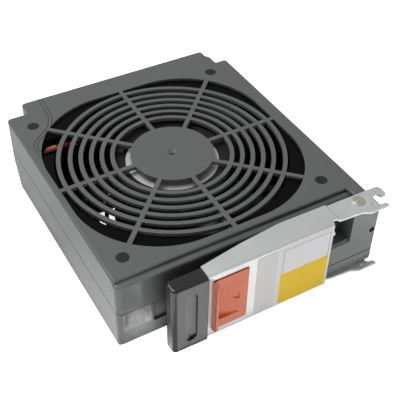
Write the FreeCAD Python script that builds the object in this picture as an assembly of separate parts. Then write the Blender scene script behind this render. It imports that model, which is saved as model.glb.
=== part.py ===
import FreeCAD, Part
import os
from math import acos, cos, hypot, pi, radians, sin, sqrt, tan

# Hot-swap server fan module. Millimetres, +Z up.
# Origin: where the fan's axis meets the underside of the base.
# -Y is the front, with the lever along it; +Y is the rear, where the module docks.
# +X is the lever's pivot side.

# ---- Fan: a square axial fan, motor base upwards ----
FAN_SIDE = 119.6
FAN_DEPTH = 38.0
FAN_CORNER = 4.0            # corner radius of the frame
HOLE_SQUARE = 105.0         # spacing of the corner holes
FAN_HOLE_R = 2.15
FLANGE = 4.5                # thickness of the frame's two square flanges
BORE_R = 58.0
DUCT_WALL = 1.6
MOTOR_BASE_R = 30.0
MOTOR_BASE = 3.0            # thickness of the motor base plate
MOTOR_BASE_DROP = 2.9       # frame's top face down to the motor base's top face
STRUT_WIDTH = 4.2
STRUT_DEPTH = 5.0
LEAD_STRUT_WIDTH = 8.4
LEAD_LID_R0 = 24.6          # stretch of the leads' strut that is closed over them
LEAD_LID_R1 = 48.5
STRUT_ANGLES = (45, 225, 315)
LEAD_ANGLE = 135
LABEL_R = 23.3
FOIL = 0.15

# ---- Rotor and motor ----
BLADES = 7
TIP_GAP = 1.3
HUB_R = 30.0
HUB_WALL = 1.6
HUB_FACE = 1.8
HUB_LIFT = 2.5              # base floor up to the hub's face
RIM_GAP = 0.8               # hub's rim to the motor base
BLADE_THICK = 1.9
ROOT_BLADE = (27.0, 46.0, 0.0, 2.6)     # chord, stagger in degrees, sweep, camber
MIDDLE_BLADE = (36.0, 35.0, 3.0, 2.8)
TIP_BLADE = (44.0, 27.0, 8.0, 2.8)
CUP_WALL = 1.3
MAGNET_THICK = 2.4
MAGNET_LENGTH = 21.0
AIR_GAP = 0.6
SHAFT_R = 2.0
BEARING_R = 4.0
BEARING_WIDTH = 3.0
TUBE_WALL = 1.6
STACK = 14.0                # stator lamination stack
POLES = 4
POLE_WIDTH = 8.0
SHOE = 2.2
COIL_OUT = 2.0              # winding build round a pole
BOARD = 1.6
BOARD_GAP = 0.6             # windings to board
DRIVER = (10.0, -2.5, 4.6, 5.0, 1.5)    # chip on the board: x, y, length, width, height
SENSOR = (-2.0, -20.4, 4.0, 3.0, 1.1)
CAPACITOR = (2.0, 15.0, 3.1, 2.2)       # x, y, radius, height
LEAD_R = 0.65
LEAD_PITCH = 1.42
FIT = 0.02                  # between round pieces that are pressed or glued together
RUNNING = 0.03              # radial, between shaft and bearings and between rivet and ear

# ---- Housing ----
WALL = 1.5
FLOOR = 1.5
ROOF = 1.5
LEFT_ROOM = 1.1             # frame to inner wall
RIGHT_ROOM = 5.8
FRONT_ROOM = 5.3
REAR_ROOM = 13.0
SHOULDER_ROOM = 3.4
NECK_LEFT_X = -51.1
NOTCH_GAP_X = 0.37
NOTCH_GAP_Y = 0.07
NECK_TAPER = 1.8
DUCT_LINE_WIDTH = 2.0
SEAM_Z = 22.0
BLOCK_SEAM_Z = 12.6
TONGUE = 1.4
TONGUE_GAP = 0.1
LEDGE_DROP = 2.0            # raised field down to the front ledge
LEDGE_DEPTH = 3.6
RIB_Y = 32.0                # ribs beside the fan's frame, on the right
RIB_XS = (-36.0, 20.0)      # and in front of it and behind it
SIDE_RIB_H = 14.0
END_RIB_H = 9.0
SOLE_BEVEL = 2.0            # bevel along the base's lower front edge
FOOT_BEVEL = 0.3            # round the rest of the base's underside
SEAM_GROOVE = 0.45          # shadow groove round the seam
CORNER_R = 3.0
EDGE_R = 1.2
LEAD_IN_H = 20.0            # height of the corner facet that leads the module into its bay
LEAD_IN_Y = 6.9
LEAD_IN_X = 4.1
NUB = 0.9                   # rest on the left wing's rear face
NUB_Z0 = 28.0
NUB_Z1 = 32.5
RIB_THICK = 1.6
RIB_GAP = 0.15              # ribs to the fan's frame

# ---- Guard: disc, rings and spokes ----
GUARD_DEPTH = 2.0
DISC_R = 20.8
RING_FIRST_R = 29.6
RING_PITCH = 5.14
RINGS = 6
OUTER_RING_R = 55.9
RING_WIDTH = 2.2
SPOKE_WIDTH = 2.3
SPOKES = 8
OPENING_HALF = 59.4
OPENING_CORNER = 44.0       # radius of the air opening's corners
GATE_R = 2.4                # dished gate mark in the centre disc
GATE_DEPTH = 0.7
GATE_STUB_R = 0.6
PLUG_R = 3.0
PLUG_LAND = 2.0             # width of roof kept round each rubber plug

# ---- Front-right block, which carries the lever ----
BLOCK_LEFT_X = 30.0
BLOCK_REACH = 13.4          # how far it stands in front of the front wall
PAD_LEFT_X = 33.0
PAD_REAR = 9.0              # block's front face back to the raised pad's rear edge
PAD_STEP_X = 59.7
RELIEF_Z = 5.0              # underside of the block, over the lower ear
PIVOT_BOSS = 1.0            # boss under the block that the lower ear turns on
RELIEF_X = 50.0
RELIEF_Y = -61.0
RELIEF_WALL = 1.1
BLOCK_WALL = 2.0
POST_R = 4.4                # round the pivot's bore, inside the block
POCKET_X0 = 34.5
POCKET_X1 = 51.2
POCKET_FLOOR = 25.2
POCKET_DEPTH = 9.5
POCKET_BEVEL = 1.4
SCREW_R = 1.5
SCREW_DEPTH = 8.0
SCREW_X = 64.1
SCREW_Z = 26.0

# ---- Recess and catch in the base's front ----
RECESS_X0 = -45.5
RECESS_X1 = 5.0
RECESS_Z = 9.5
RECESS_DEPTH = 1.5
CATCH_Z0 = 12.0
CATCH_Z1 = 20.0
FILM_X0 = -60.5
FILM_X1 = -46.6
FILM_Z0 = 10.6

# ---- Lever ----
SHEET = 1.2
BEND_R = 1.5
EAR_GAP = 0.1
LOWER_EAR_GAP = 0.4
JOGGLE = 1.0                # the upper flange steps down into its ear by this
JOGGLE_RUN = 1.2
PIVOT_FROM_RIGHT = 9.5
PIVOT_FROM_FRONT = 5.9
WEB_GAP = 0.7
WEB_LEFT_X = -27.0
WEB_RIGHT_X = 38.5
WEB_TAB = 0.9
WEB_TAB_Z0 = 35.8
WEB_TAB_Z1 = 37.6
SHANK_R = 1.9
HEAD_R = 3.0
HEAD = 0.7
HEAD_GAP = 0.1
RIVET_RING_R = 1.7          # open ring stamped into the head when it is formed
RIVET_RING_WIDTH = 0.5
RIVET_RING_DEPTH = 0.25
DIMPLE_R = 1.25
DIMPLE_CORE_R = 0.55
DIMPLE_DEPTH = 0.4
DIMPLE_AT = (4.6, -5.4)     # from the pivot
BUTTON_R = 1.2              # dimple that stands up from the lower ear
BUTTON_H = 0.4
LOW_JAW_REACH = 12.9        # the lower ear's rear prong ends this far from the pivot
EAR_ROOM = 30.0             # further than either ear reaches
# Outline of flange and ear, from the pivot: (x, y, corner radius)
LEVER_REAR_EDGE = [(-84.0, -1.0, 0), (-62.9, 2.5, 10), (-41.6, 4.8, 20), (-14.6, 4.5, 3)]
LEVER_JAW = [(15.2, 4.2, 2.2), (14.9, -1.9, 1.1), (12.0, -2.5, 0.4), (11.0, 0.1, 1.0), (7.5, 0.1, 1.5),
             (7.5, -6.3, 1.4), (10.9, -6.9, 0.4), (12.1, -10.3, 1.6), (5.2, -9.8, 1.5), (3.3, -10.1, 1.5),
             (-2.7, -6.8, 3.0), (-14.8, -6.0, 0.4)]
LEVER_NOTCH = [(-17.3, -5.2, 0.3), (-19.1, -5.2, 0)]
JAW_MIDDLE_Y = -4.5         # between the two prongs

# ---- Grip ----
GRIP_LEFT_X = -44.5
GRIP_PROUD = 1.1            # in front of the web
GRIP_REAR = 6.7             # behind the web's outer face
GRIP_CORNER = 2.6
GRIP_EDGE = 1.3
TANG_LEFT_X = -41.0
TANG_MARGIN = 6.0
SCOOP_X0 = -38.4
SCOOP_X1 = -32.6
SCOOP_MARGIN = 5.2
SCOOP_DEPTH = 1.0

# ---- Latch ----
LATCH_X0 = -22.5
LATCH_X1 = -6.8
LATCH_Z0 = 7.4
LATCH_Z1 = 38.9
LATCH_PROUD = 0.5
LATCH_CORNER = 1.0
LATCH_GAP = 0.6             # to the window's lower and upper edges
LATCH_STOP_GAP = 0.3        # to the window's right edge
LATCH_TRAVEL = 1.8
LATCH_FLANGE = 1.0          # overlap behind the window's edges
LATCH_FLANGE_THICK = 1.4
SLIDE_GAP = 0.3
LIP_X0 = -24.8
LIP_THICK = 1.15
LIP_PROUD = 3.9
LIP_TAPER = 2.2
THUMB_X0 = -22.2            # thumb recess: deep end beside the lip, shallow end on the right
THUMB_X1 = -10.5
THUMB_DEPTH = 2.3
THUMB_MARGIN = 5.2          # to the button's lower and upper edges
ARROW_X = -14.3             # engraved arrow's tip
ARROW_LENGTH = 3.3
ARROW_HALF = 2.1
ARROW_DEPTH = 0.5
HOOK_X0 = -20.0
HOOK_X1 = -17.0
HOOK_NOSE = 3.2
HOOK_NOSE_THICK = 1.6
HOOK_CLEAR = 0.3            # nose's tip to the catch's edge, and nose to wall
HOOK_MARGIN = 1.2           # to the catch's lower and upper edges
RETAINER_THICK = 1.4
RETAINER_X0 = -26.6
RETAINER_X1 = 0.0
RETAINER_POST = 1.8
SPRING_HALF_W = 1.5
SPRING_HALF_H = 0.7
SPRING_STRIP = 0.3
SPRING_FOLDS = 6
SPRING_WELL = 11.0
PEG = 1.4

# ---- Web label ----
LABEL_X0 = -2.3
LABEL_X1 = 37.9
LABEL_Z0 = 3.7
LABEL_Z1 = 41.2
LABEL_CUT = 2.4
PAPER = 0.12

# ---- Rear connector ----
PLUG_X0 = -49.0
PLUG_X1 = -33.0
PLUG_Z0 = 17.5
PLUG_Z1 = 26.5
PLUG_BODY = 9.0             # inside the rear wall
PLUG_NOSE = 3.6             # outside it
PLUG_FLANGE = 1.2
CONTACTS = 4
CONTACT_WIDTH = 0.8

# ---- Worked out from the sizes above ----
FAN_HALF = FAN_SIDE / 2
BODY_H = FLOOR + FAN_DEPTH + ROOF
FAN_TOP = FLOOR + FAN_DEPTH
LEFT_X = -(FAN_HALF + LEFT_ROOM + WALL)
RIGHT_X = FAN_HALF + RIGHT_ROOM + WALL
FRONT_Y = -(FAN_HALF + FRONT_ROOM + WALL)
REAR_Y = FAN_HALF + REAR_ROOM + WALL
LEFT_SHOULDER_Y = FAN_HALF + SHOULDER_ROOM + WALL
CORNER_REACH = FAN_HALF - FAN_CORNER * (1 - sqrt(0.5))
RIGHT_SHOULDER_Y = CORNER_REACH + NOTCH_GAP_Y + WALL
NECK_RIGHT_X = CORNER_REACH + NOTCH_GAP_X + WALL
LEDGE_Z = BODY_H - LEDGE_DROP
RAISED_Y = FRONT_Y + LEDGE_DEPTH
BLOCK_FRONT_Y = FRONT_Y - BLOCK_REACH
PAD_Y = BLOCK_FRONT_Y + PAD_REAR
PIVOT_X = RIGHT_X - PIVOT_FROM_RIGHT
PIVOT_Y = BLOCK_FRONT_Y + PIVOT_FROM_FRONT
WEB_IN_Y = BLOCK_FRONT_Y - WEB_GAP
WEB_OUT_Y = WEB_IN_Y - SHEET
EAR_TOP = BODY_H + EAR_GAP + SHEET
LEVER_TOP = EAR_TOP + JOGGLE
LEVER_BASE = RELIEF_Z - PIVOT_BOSS - LOWER_EAR_GAP - SHEET
BASE_PLATE_TOP = FAN_TOP - MOTOR_BASE_DROP
BASE_PLATE_UNDER = BASE_PLATE_TOP - MOTOR_BASE
HUB_BASE = FLOOR + HUB_LIFT
HUB_TOP = BASE_PLATE_UNDER - RIM_GAP
CUP_R = HUB_R - HUB_WALL - FIT
MAGNET_R = CUP_R - CUP_WALL - FIT
STATOR_R = MAGNET_R - MAGNET_THICK - AIR_GAP
TUBE_R = BEARING_R + FIT + TUBE_WALL
CUP_BASE = HUB_BASE + HUB_FACE
MAGNET_BASE = CUP_BASE + CUP_WALL + 1.0
TUBE_BASE = CUP_BASE + CUP_WALL + 2.6
STACK_BASE = MAGNET_BASE + (MAGNET_LENGTH - STACK) / 2
BOARD_BASE = STACK_BASE + STACK + COIL_OUT + BOARD_GAP
SPRING_ROOM = 2 * SPRING_HALF_W + 0.4
LATCH_BACK_Y = WEB_IN_Y + SLIDE_GAP + LATCH_FLANGE_THICK
RETAINER_Y = LATCH_BACK_Y + SLIDE_GAP
CATCH_X1 = HOOK_X1 + HOOK_NOSE + HOOK_CLEAR
CATCH_X0 = HOOK_X0 - LATCH_TRAVEL - 1.4
LEAD_Z = BASE_PLATE_TOP - 0.9
CHANNEL_Z = LEAD_Z - LEAD_R - 0.25
CHANNEL_HALF = 1.4 * LEAD_PITCH + LEAD_R + 0.3
LEAD_OUT_X = -54.5          # where the leads go down beside the duct
LEAD_OUT_Y = 36.9
LEAD_NOTCH_FRONT = 8.0      # the frame's notch reaches this far in front of the leads
LEAD_NOTCH_REAR = 3.6

TINY = 0.01
V = FreeCAD.Vector
PLACE = {
    "x": lambda a, b, c: V(c, a, b),
    "y": lambda a, b, c: V(a, c, b),
    "z": lambda a, b, c: V(a, b, c),
}


# ---- Shapes ----

def block(x0, x1, y0, y1, z0, z1):
    return Part.makeBox(x1 - x0, y1 - y0, z1 - z0, V(x0, y0, z0))


def disc(radius, z0, z1, x=0.0, y=0.0):
    return Part.makeCylinder(radius, z1 - z0, V(x, y, z0))


def tube(outer, inner, z0, z1, x=0.0, y=0.0):
    return disc(outer, z0, z1, x, y).cut(disc(inner, z0 - 1, z1 + 1, x, y))


def rounded_wire(corners, put):
    """Closed wire through (a, b, radius) corners, each turned by a tangent arc."""
    edges = []
    ends = []
    count = len(corners)
    for i in range(count):
        a, b, radius = corners[i]
        here = put(a, b)
        before = (put(*corners[i - 1][:2]) - here).normalize()
        after = (put(*corners[(i + 1) % count][:2]) - here).normalize()
        half = acos(max(-1.0, min(1.0, before.dot(after)))) / 2
        if radius < TINY or half > pi / 2 - 0.01:
            ends.append((here, here, None))
            continue
        along = radius / tan(half)
        middle = here + (before + after).normalize() * (radius / sin(half) - radius)
        ends.append((here + before * along, here + after * along, middle))
    for i in range(count):
        start, end, middle = ends[i]
        if middle is not None:
            edges.append(Part.Arc(start, middle, end).toShape())
        following = ends[(i + 1) % count][0]
        if (following - end).Length > 1e-6:
            edges.append(Part.LineSegment(end, following).toShape())
    return Part.Wire(edges)


def extrude(corners, axis, low, high):
    """Solid with the corners' outline, from low to high along x, y or z."""
    place = PLACE[axis]
    wire = rounded_wire(corners, lambda a, b: place(a, b, low))
    return Part.Face(wire).extrude(place(0, 0, high - low))


def stadium(start, end, width, z0, z1):
    """Slot shape from start to end, seen from above."""
    run = V(end[0] - start[0], end[1] - start[1], 0)
    side = V(-run.y, run.x, 0).normalize() * (width / 2)
    corners = [V(*start, z0) + side, V(*start, z0) - side, V(*end, z0) - side, V(*end, z0) + side]
    bar = Part.Face(Part.makePolygon(corners + corners[:1])).extrude(V(0, 0, z1 - z0))
    return bar.fuse([disc(width / 2, z0, z1, *start), disc(width / 2, z0, z1, *end)])


def level_edges(shape, z):
    """Edges that lie flat at height z."""
    return [e for e in shape.Edges if abs(e.BoundBox.ZMin - z) < TINY and abs(e.BoundBox.ZMax - z) < TINY]


def turned(shape, angle):
    copy = shape.copy()
    copy.rotate(V(0, 0, 0), V(0, 0, 1), angle)
    return copy


def at_fan_holes(shape):
    """Copies of a piece made on the Z axis, at the fan's four corner holes."""
    copies = []
    for x in (-HOLE_SQUARE / 2, HOLE_SQUARE / 2):
        for y in (-HOLE_SQUARE / 2, HOLE_SQUARE / 2):
            copies.append(shape.translated(V(x, y, 0)))
    return copies


def save(node, solids):
    """Write one node; a list becomes a group of separate solids."""
    shape = Part.makeCompound(solids) if isinstance(solids, list) else solids
    shape = shape.removeSplitter()
    if not shape.isValid() or shape.Volume <= 0:
        print("check", node, shape.isValid(), shape.Volume)
    shape.exportStep("parts/" + node + ".step")
    print(f"{node:20s} solids {len(shape.Solids):2d}  volume {shape.Volume:10.1f}")


# ---- Housing ----

def plan(inset=0.0):
    """The housing's outline from above, drawn in by a wall."""
    outer = lambda radius: max(radius - inset, 0.3)
    inner = lambda radius: radius + inset
    neck_x = NECK_RIGHT_X - NECK_TAPER
    return [
        (LEFT_X + inset, FRONT_Y + inset, outer(CORNER_R)),
        (RIGHT_X - inset, FRONT_Y + inset, 0),
        (RIGHT_X - inset, RIGHT_SHOULDER_Y - inset, outer(1.8)),
        (NECK_RIGHT_X - inset, RIGHT_SHOULDER_Y - inset, inner(0.3)),
        (NECK_RIGHT_X - inset, RIGHT_SHOULDER_Y + 6.0, outer(3.0)),
        (neck_x - inset, RIGHT_SHOULDER_Y + 9.0, inner(1.5)),
        (neck_x - inset, REAR_Y - inset, outer(1.8)),
        (NECK_LEFT_X + inset, REAR_Y - inset, outer(1.8)),
        (NECK_LEFT_X + inset, LEFT_SHOULDER_Y - inset, inner(0.3)),
        (LEFT_X + inset, LEFT_SHOULDER_Y - inset, outer(1.8)),
    ]


def raised_plan():
    """Outline of the top field, which runs forward to the pivot pad on the right."""
    sides = plan()[2:]
    return sides + [
        (LEFT_X, RAISED_Y, 1.5),
        (PAD_STEP_X, RAISED_Y, 1.0),
        (PAD_STEP_X, PAD_Y, 1.0),
        (PAD_LEFT_X, PAD_Y, 1.0),
        (PAD_LEFT_X, BLOCK_FRONT_Y, 1.0),
        (RIGHT_X, BLOCK_FRONT_Y, 1.5),
    ]


def block_plan(inset=0.0):
    return [
        (BLOCK_LEFT_X + inset, FRONT_Y - inset, 0),
        (BLOCK_LEFT_X + inset, BLOCK_FRONT_Y + inset, 1.0),
        (RIGHT_X - inset, BLOCK_FRONT_Y + inset, 1.5),
        (RIGHT_X - inset, FRONT_Y - inset, 0),
    ]


def opening(z0, z1):
    """Air opening: a square with wide round corners, kept off the rubber plugs by their lands."""
    half, corner = OPENING_HALF, OPENING_CORNER
    corners = [(-half, -half, corner), (half, -half, corner), (half, half, corner), (-half, half, corner)]
    square = extrude(corners, "z", z0, z1)
    return square.cut(at_fan_holes(disc(PLUG_R + PLUG_LAND, z0, z1)))


def guard(z0, z1):
    """Centre disc, rings and spokes, clipped to the air opening."""
    radii = [RING_FIRST_R + RING_PITCH * k for k in range(RINGS - 1)] + [OUTER_RING_R]
    rings = [tube(r + RING_WIDTH / 2, r - RING_WIDTH / 2, z0, z1) for r in radii]
    bar = block(DISC_R - 1, OPENING_HALF * sqrt(2), -SPOKE_WIDTH / 2, SPOKE_WIDTH / 2, z0, z1)
    spokes = [turned(bar, 360 / SPOKES * k) for k in range(SPOKES)]
    return disc(DISC_R, z0, z1).fuse(rings + spokes).common(opening(z0, z1))


def gate_mark():
    """Shallow dish with the gate's stub left standing in it."""
    ball_r = (GATE_R ** 2 + GATE_DEPTH ** 2) / (2 * GATE_DEPTH)
    dish = Part.makeSphere(ball_r, V(0, 0, BODY_H - GATE_DEPTH + ball_r))
    return dish.cut(disc(GATE_STUB_R, BODY_H - GUARD_DEPTH, BODY_H - 0.1))


def seam_groove():
    """Narrow groove round the outside of the base, just under the seam and under the block's seam."""
    inner = -SEAM_GROOVE
    ring = extrude(plan(inner), "z", SEAM_Z - SEAM_GROOVE, SEAM_Z + 1)
    behind_block = block(BLOCK_LEFT_X, RIGHT_X + 1, FRONT_Y - 1, FRONT_Y + SEAM_GROOVE + TINY, 0, SEAM_Z + 2)
    ring = ring.cut([extrude(plan(SEAM_GROOVE), "z", 0, SEAM_Z + 2), behind_block])
    band = extrude(block_plan(inner), "z", BLOCK_SEAM_Z - SEAM_GROOVE, BLOCK_SEAM_Z + 1)
    band = band.cut([extrude(block_plan(SEAM_GROOVE), "z", 0, SEAM_Z),
                     block(LEFT_X, RIGHT_X + 1, FRONT_Y - SEAM_GROOVE, FRONT_Y + 1, 0, SEAM_Z)])
    return [ring, band]


def corner_facet(inset=0.0):
    """Everything outside the facet that leads the rear left corner into the bay; inset moves it inwards."""
    low = V(LEFT_X, LEFT_SHOULDER_Y - LEAD_IN_Y, 0)
    rear = V(LEFT_X + LEAD_IN_X, LEFT_SHOULDER_Y, 0)
    top = V(LEFT_X, LEFT_SHOULDER_Y, LEAD_IN_H)
    outward = (rear - low).cross(top - low).normalize()
    if outward.x > 0:
        outward = outward * -1
    reach = 2 * LEAD_IN_H
    slab = Part.makeBox(reach, reach, reach, V(-reach / 2, -reach / 2, 0))
    middle = (low + rear + top) * (1 / 3) - outward * inset
    slab.Placement = FreeCAD.Placement(middle, FreeCAD.Rotation(V(0, 0, 1), outward))
    return slab


def catch_window(y0, y1):
    return block(CATCH_X0, CATCH_X1, y0, y1, CATCH_Z0, CATCH_Z1)


def pivot_hole(z0, z1):
    return disc(SHANK_R + FIT, z0, z1, PIVOT_X, PIVOT_Y)


def wing_nub():
    """Small rest on the rear face of the left wing."""
    root, tip = LEFT_SHOULDER_Y - 0.5, LEFT_SHOULDER_Y + NUB
    return extrude([(root, NUB_Z0 - NUB, 0), (tip, NUB_Z0, 0), (tip, NUB_Z1, 0), (root, NUB_Z1 + NUB, 0)],
                   "x", LEFT_X + 1.0, LEFT_X + 2.8)


def tongue(gap):
    """Rib round the seam that the base pushes up into the cover; gap widens the cover's groove for it."""
    outside = extrude(plan(WALL / 2 + (0 if gap else TONGUE_GAP)), "z", SEAM_Z - 1, SEAM_Z + TONGUE + gap)
    inside = extrude(plan(WALL), "z", SEAM_Z - 2, SEAM_Z + TONGUE + gap + 1)
    return outside.cut(inside)


def plug_window(y0, y1, z0, z1):
    return block(PLUG_X0 - 0.05, PLUG_X1 + 0.05, y0, y1, z0, z1)


def duct_line():
    """Shallow double line over the leads' duct, from the rear edge to the air opening."""
    rear_x = NECK_LEFT_X + 10.0
    route = [(rear_x + 0.3, REAR_Y - 1.7), (rear_x - 0.7, 55.9), (rear_x - 4.3, 48.1), (rear_x - 14.0, 40.2),
             (rear_x - 16.5, 36.1), (rear_x - 16.5, 28.1), (rear_x - 16.0, 25.6)]
    legs = list(zip(route, route[1:]))
    runs = [stadium(p, q, DUCT_LINE_WIDTH, BODY_H - 0.25, BODY_H + 1) for p, q in legs]
    rib = [stadium(p, q, DUCT_LINE_WIDTH - 0.6, BODY_H - 1, BODY_H + 2) for p, q in legs]
    return runs[0].fuse(runs[1:]).cut(rib[0].fuse(rib[1:]))


def top_cover():
    walls = extrude(plan(), "z", SEAM_Z, LEDGE_Z)
    walls = walls.makeFillet(EDGE_R, level_edges(walls, LEDGE_Z))
    corner = extrude(block_plan(), "z", BLOCK_SEAM_Z, LEDGE_Z)
    field = extrude(raised_plan(), "z", LEDGE_Z - 4, BODY_H)
    field = field.makeFillet(EDGE_R, level_edges(field, BODY_H))
    outer = walls.fuse([corner, field])
    lower_room = extrude(plan(WALL), "z", SEAM_Z - 1, LEDGE_Z - ROOF)
    upper_room = extrude(plan(WALL), "z", LEDGE_Z - ROOF - 1, BODY_H - ROOF)
    upper_room = upper_room.common(block(LEFT_X, RIGHT_X, RAISED_Y + WALL, REAR_Y, 0, BODY_H))
    core = extrude(block_plan(BLOCK_WALL), "z", BLOCK_SEAM_Z - 1, POCKET_FLOOR - BLOCK_WALL)
    post = disc(POST_R, BLOCK_SEAM_Z, BODY_H - 2, PIVOT_X, PIVOT_Y)
    pocket = block(POCKET_X0, POCKET_X1, BLOCK_FRONT_Y - 1, BLOCK_FRONT_Y + POCKET_DEPTH, POCKET_FLOOR,
                   BODY_H + 1)
    screw = Part.makeCylinder(SCREW_R, SCREW_DEPTH, V(SCREW_X, BLOCK_FRONT_Y, SCREW_Z), V(0, 1, 0))
    screw = screw.fuse(Part.makeCylinder(SCREW_R, 1, V(SCREW_X, BLOCK_FRONT_Y - 1, SCREW_Z), V(0, 1, 0)))
    cuts = [lower_room, upper_room, core.cut(post), pocket, screw, tongue(TONGUE_GAP), duct_line()]
    cuts += [opening(BODY_H - ROOF - 1, BODY_H + 1), pivot_hole(BLOCK_SEAM_Z - 1, BODY_H + 1)]
    cuts += [plug_window(REAR_Y - WALL - 1, REAR_Y + 1, SEAM_Z - 1, PLUG_Z1 + 0.05)]
    cuts += at_fan_holes(disc(PLUG_R + FIT, BODY_H - ROOF - 1, BODY_H + 1))
    bevel_z = POCKET_FLOOR - POCKET_BEVEL - 1
    cuts += [extrude([(BLOCK_FRONT_Y - 1, bevel_z, 0), (BLOCK_FRONT_Y + POCKET_BEVEL + 1, POCKET_FLOOR + 1, 0),
                      (BLOCK_FRONT_Y - 1, POCKET_FLOOR + 1, 0)], "x", POCKET_X0, POCKET_X1)]
    grille = guard(BODY_H - GUARD_DEPTH, BODY_H).cut(gate_mark())
    cover = outer.cut(cuts).fuse([grille, wing_nub()])
    return cover.cut(fan_clearance())


def fan_clearance():
    """The fan frame's outside, where the guard's spokes would reach below the roof."""
    return fan_square(FLOOR, FAN_TOP).cut(disc(BORE_R, 0, BODY_H))


def base_outside():
    """The base's outside form: walls with a bevelled foot, and the block's lower part with its pivot boss."""
    walls = extrude(plan(), "z", 0, SEAM_Z)
    walls = walls.makeChamfer(FOOT_BEVEL, level_edges(walls, 0))
    reach = SOLE_BEVEL + 1
    toe = extrude([(FRONT_Y - 1, -1, 0), (FRONT_Y + reach, -1, 0), (FRONT_Y - 1, reach, 0)],
                  "x", LEFT_X - 1, RIGHT_X + 1)
    corner = extrude(block_plan(), "z", RELIEF_Z, BLOCK_SEAM_Z)
    front_edges = [e for e in level_edges(corner, RELIEF_Z) if e.BoundBox.YMin < FRONT_Y - 0.5]
    corner = corner.makeChamfer(0.8, front_edges)
    relief = block(RELIEF_X, RIGHT_X + 1, FRONT_Y - 1, RELIEF_Y, -1, RELIEF_Z)
    boss = disc(POST_R, RELIEF_Z - PIVOT_BOSS, RELIEF_Z + 1, PIVOT_X, PIVOT_Y)
    return walls.cut([toe, relief]).fuse([corner, boss])


def base_room():
    """The space inside the base, with the walls that stand in it left out."""
    behind = RELIEF_Y + RELIEF_WALL
    room = extrude(plan(WALL), "z", FLOOR, SEAM_Z + 1)
    floor_over_ear = block(RELIEF_X - WALL, RIGHT_X - TINY, FRONT_Y + TINY, behind, RELIEF_Z, RELIEF_Z + WALL)
    recess_back = block(RECESS_X0 - WALL, RECESS_X1 + WALL, FRONT_Y + WALL, FRONT_Y + WALL + RECESS_DEPTH,
                        RECESS_Z - WALL, SEAM_Z)
    relief_back = block(RELIEF_X - WALL, RIGHT_X - WALL, RELIEF_Y, behind, FLOOR, RELIEF_Z + WALL)
    relief_side = block(RELIEF_X - WALL, RELIEF_X, FRONT_Y + WALL, behind, FLOOR, RELIEF_Z + WALL)
    return room.cut([corner_facet(WALL), floor_over_ear, recess_back, relief_back, relief_side])


def base_shell():
    block_core = extrude(block_plan(BLOCK_WALL), "z", RELIEF_Z + BLOCK_WALL, BLOCK_SEAM_Z + 1)
    post = disc(POST_R, RELIEF_Z, BLOCK_SEAM_Z, PIVOT_X, PIVOT_Y)
    recess = extrude([(RECESS_X0, RECESS_Z, 1.0), (RECESS_X1, RECESS_Z, 1.0), (RECESS_X1, SEAM_Z + 1, 0),
                      (RECESS_X0, SEAM_Z + 1, 0)], "y", FRONT_Y - 1, FRONT_Y + RECESS_DEPTH)
    cuts = [base_room(), block_core.cut(post), recess, corner_facet(), pivot_hole(0, BLOCK_SEAM_Z + 1)]
    cuts += [catch_window(FRONT_Y - 1, FRONT_Y + WALL + RECESS_DEPTH + 1), opening(-1, FLOOR + 1)]
    cuts += seam_groove() + at_fan_holes(disc(PLUG_R + FIT, -1, FLOOR + 1))
    shell = base_outside().cut(cuts).fuse([guard(0, GUARD_DEPTH), tongue(0)] + frame_ribs())
    window = plug_window(REAR_Y - WALL - 1, REAR_Y + 1, PLUG_Z0 - 0.05, SEAM_Z + 4)
    return shell.cut([window, fan_clearance(), corner_facet()])


def frame_ribs():
    """Ribs on the floor that hold the fan's frame off the right, front and rear walls."""
    ribs = []
    near = FAN_HALF + RIB_GAP
    for y in (-RIB_Y, RIB_Y):
        ribs.append(block(near, RIGHT_X - WALL / 2, y, y + RIB_THICK, FLOOR / 2, SIDE_RIB_H))
    for x in RIB_XS:
        ribs.append(block(x, x + RIB_THICK, FRONT_Y + WALL / 2, -near, FLOOR / 2 + SOLE_BEVEL, END_RIB_H))
        ribs.append(block(x, x + RIB_THICK, near, REAR_Y - WALL / 2, FLOOR / 2, END_RIB_H))
    return ribs


def isolators(face_z, inward):
    """Four rubber plugs: a head in the housing's hole and a stem in the fan's corner hole."""
    head = sorted((face_z, face_z + inward * ROOF))
    stem = sorted((face_z + inward * ROOF, face_z + inward * (ROOF + FLANGE - 0.3)))
    plug = disc(PLUG_R, head[0], head[1]).fuse(disc(FAN_HOLE_R - FIT, stem[0], stem[1]))
    return at_fan_holes(plug)


def clear_film():
    y = FRONT_Y
    return extrude([(FILM_X0, FILM_Z0, 0.6), (FILM_X1, FILM_Z0, 0.6), (FILM_X1, SEAM_Z - 0.2, 0.3),
                    (FILM_X0, SEAM_Z - 0.2, 0.3)], "y", y - 0.12, y)


# ---- Fan ----

def fan_square(z0, z1):
    half = FAN_HALF
    return extrude([(-half, -half, FAN_CORNER), (half, -half, FAN_CORNER), (half, half, FAN_CORNER),
                    (-half, half, FAN_CORNER)], "z", z0, z1)


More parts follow.
